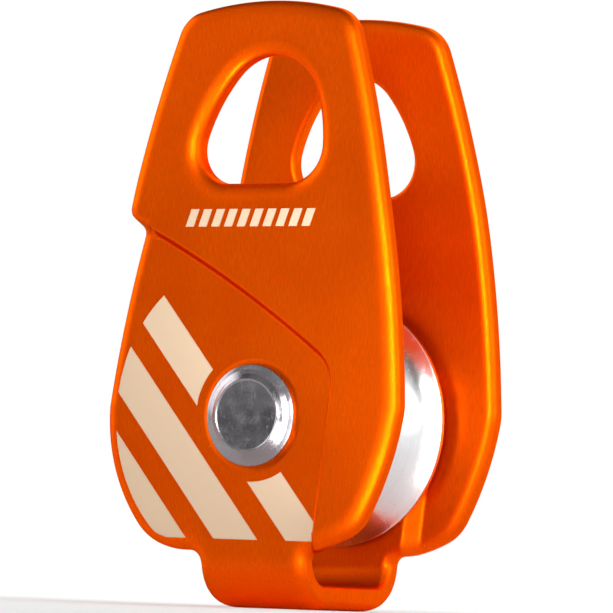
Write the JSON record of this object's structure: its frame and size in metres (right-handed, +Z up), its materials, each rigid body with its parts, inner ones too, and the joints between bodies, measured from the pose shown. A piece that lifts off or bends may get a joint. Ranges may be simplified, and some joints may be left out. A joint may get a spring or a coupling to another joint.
{
  "type": "rope pulley",
  "caption": "Compact rope pulley with fixed stepped cheeks bent from one strip, a carabiner eye at the top and a grooved sheave on a riveted axle.",
  "frame": {"origin": "centre of the sheave on the axle, midway between the cheeks", "axes": "+Y along the axle from the near cheek to the far cheek, +Z up the cheeks to the carabiner eye, +X to the side where the outer panels reach down to the bridge"},
  "size_m": [0.0438, 0.0272, 0.0763],
  "materials": {
    "anodised_strip": "orange anodised, fine vertical brushed grain, satin",
    "axle_steel": "turned stainless steel",
    "sheave_alloy": "machined, lightly polished",
    "bearing_steel": "ground bearing steel",
    "seal_rubber": "black nitrile rubber",
    "cage_polyamide": "natural polyamide"
  },
  "bodies": {
    "frame": {"side_plates": "anodised_strip", "axle_rivet": "axle_steel", "near_washer": "axle_steel", "far_washer": "axle_steel", "bearing_spacer": "axle_steel", "near_bearing_inner_ring": "bearing_steel", "far_bearing_inner_ring": "bearing_steel"},
    "sheave_body": {"sheave": "sheave_alloy", "near_bearing_outer_ring": "bearing_steel", "far_bearing_outer_ring": "bearing_steel", "near_bearing_outer_seal": "seal_rubber", "near_bearing_inner_seal": "seal_rubber", "far_bearing_outer_seal": "seal_rubber", "far_bearing_inner_seal": "seal_rubber"},
    "near_cage_body": {"near_bearing_cage": "cage_polyamide", "near_ball_1": "bearing_steel", "near_ball_2": "bearing_steel", "near_ball_3": "bearing_steel", "near_ball_4": "bearing_steel", "near_ball_5": "bearing_steel", "near_ball_6": "bearing_steel", "near_ball_7": "bearing_steel", "near_ball_8": "bearing_steel", "near_ball_9": "bearing_steel"},
    "far_cage_body": {"far_bearing_cage": "cage_polyamide", "far_ball_1": "bearing_steel", "far_ball_2": "bearing_steel", "far_ball_3": "bearing_steel", "far_ball_4": "bearing_steel", "far_ball_5": "bearing_steel", "far_ball_6": "bearing_steel", "far_ball_7": "bearing_steel", "far_ball_8": "bearing_steel", "far_ball_9": "bearing_steel"}
  },
  "joints": [
    {"name": "sheave_spin", "type": "hinge", "parent": "frame", "child": "sheave_body", "pos_m": [0, 0, 0], "axis": [0, 1, 0], "continuous": true},
    {"name": "near_cage_spin", "type": "hinge", "parent": "frame", "child": "near_cage_body", "pos_m": [0, -0.0057, 0], "axis": [0, 1, 0], "continuous": true},
    {"name": "far_cage_spin", "type": "hinge", "parent": "frame", "child": "far_cage_body", "pos_m": [0, 0.0057, 0], "axis": [0, 1, 0], "continuous": true}
  ],
  "couplings": [
    {"joint": "near_cage_spin", "follows": "sheave_spin", "ratio": 0.58333},
    {"joint": "far_cage_spin", "follows": "sheave_spin", "ratio": 0.58333}
  ]
}
